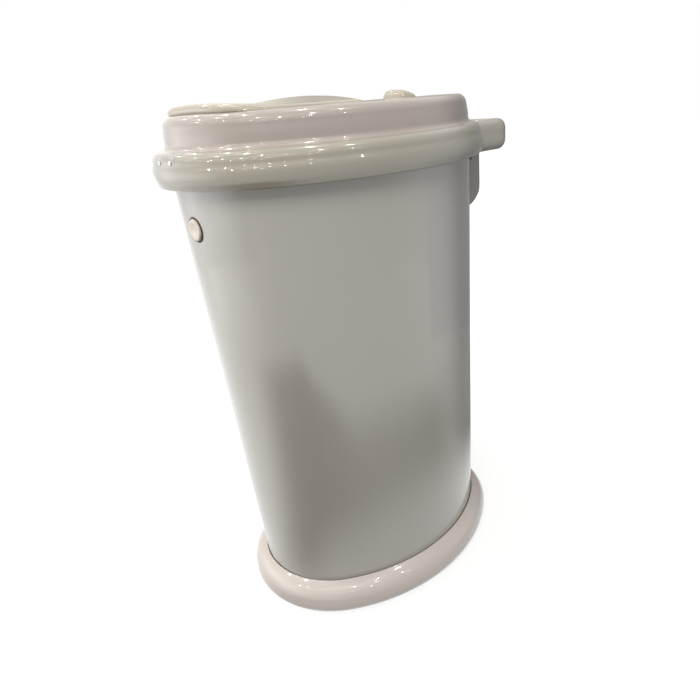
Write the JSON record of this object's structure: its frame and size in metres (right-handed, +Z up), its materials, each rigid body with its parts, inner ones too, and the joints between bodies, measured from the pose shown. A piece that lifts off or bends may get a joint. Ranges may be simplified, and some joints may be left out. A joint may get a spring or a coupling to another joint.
{
  "type": "nappy bin",
  "caption": "Tall oval steel nappy bin on a flared base ring, with a hinged lid and rear carry loop, a front push-button latch and a sliding top door under a hood.",
  "frame": {"origin": "centre of the whole bin's bounding box, carry loop included, at floor level", "axes": "+Z up, +X across the narrow way of the oval, front (button side) facing -Y, hinge and carry loop at +Y"},
  "size_m": [0.222, 0.3224, 0.4325],
  "materials": {
    "body_paint": "gloss powder coat, warm grey",
    "ring_plastic": "moulded, satin gloss, pale pinkish white",
    "lid_plastic": "moulded, gloss, sage grey",
    "cover_plastic": "moulded, gloss, mauve grey",
    "hood_plastic": "moulded, gloss, pale khaki",
    "button_plastic": "moulded, satin gloss, cream",
    "inner_plastic": "moulded, matt, dark grey",
    "glide_plastic": "moulded, matt, white",
    "foot_rubber": "matt black",
    "seal_rubber": "matt black, soft",
    "pan_steel": "galvanised, dull",
    "screw_steel": "zinc plated, bright"
  },
  "bodies": {
    "bin": {"body_shell": "body_paint", "floor_pan": "pan_steel", "base_ring": "ring_plastic", "rubber_feet": "foot_rubber", "base_screws": "screw_steel", "rim_frame": "inner_plastic", "rim_gasket": "seal_rubber", "bag_ring": "cover_plastic", "hinge_housing": "lid_plastic", "hinge_backplate": "pan_steel", "hinge_pin": "screw_steel", "hinge_screws": "screw_steel", "latch_housing": "inner_plastic", "latch_screws": "screw_steel", "latch_spring": "screw_steel"},
    "latch": {"release_button": "button_plastic", "latch_bar": "inner_plastic"},
    "lid": {"lid_frame": "lid_plastic", "lid_cover": "cover_plastic", "hood": "hood_plastic", "lid_liner": "cover_plastic", "door_tray": "cover_plastic", "mouth_seal": "seal_rubber", "latch_keeper": "pan_steel", "keeper_screws": "screw_steel", "hinge_leaf": "pan_steel", "leaf_screws": "screw_steel", "lid_screws": "screw_steel"},
    "door": {"sliding_door": "hood_plastic", "door_grip": "hood_plastic", "door_glides": "glide_plastic"}
  },
  "joints": [
    {"name": "latch_press", "type": "slide", "parent": "bin", "child": "latch", "axis": [0, 1, 0], "range_m": [0, 0.0032], "stiffness_N_per_m": 400, "springref_m": -0.004, "deforming": ["latch_spring"]},
    {"name": "lid_hinge", "type": "hinge", "parent": "bin", "child": "lid", "pos_m": [0, 0.11525, 0.364], "axis": [-1, 0, 0], "range_deg": [0, 95]},
    {"name": "door_slide", "type": "slide", "parent": "lid", "child": "door", "axis": [0, -1, 0], "range_m": [0, 0.07]}
  ]
}
